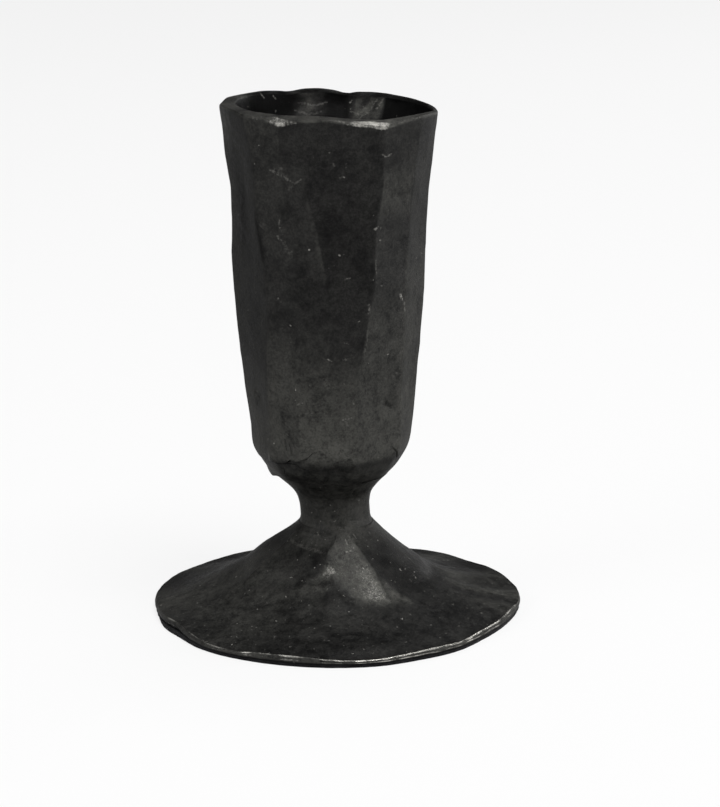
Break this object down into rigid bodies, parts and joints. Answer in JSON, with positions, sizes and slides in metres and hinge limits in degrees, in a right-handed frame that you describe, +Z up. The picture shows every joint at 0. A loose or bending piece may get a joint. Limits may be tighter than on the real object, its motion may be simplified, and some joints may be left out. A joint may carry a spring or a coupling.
{
  "type": "candlestick",
  "caption": "Short hammered iron candlestick: a flared, faceted socket riveted through a waisted neck to a dished round foot with a felt ring.",
  "frame": {"origin": "under the middle of the foot, on the surface that the candlestick stands on", "axes": "+Z up through the socket, -Y towards the front, +X to the right seen from the front"},
  "size_m": [0.0562, 0.0562, 0.0782],
  "materials": {
    "hammered_iron": "hammered, blackened and waxed, worn bright on its edges",
    "plain_iron": "dull dark iron",
    "black_felt": "thin black felt"
  },
  "bodies": {
    "root": {"socket": "hammered_iron", "seat_plate": "plain_iron", "neck": "hammered_iron", "foot": "hammered_iron", "rivet": "plain_iron", "rivet_washer": "plain_iron", "base_pad": "black_felt"}
  },
  "joints": []
}
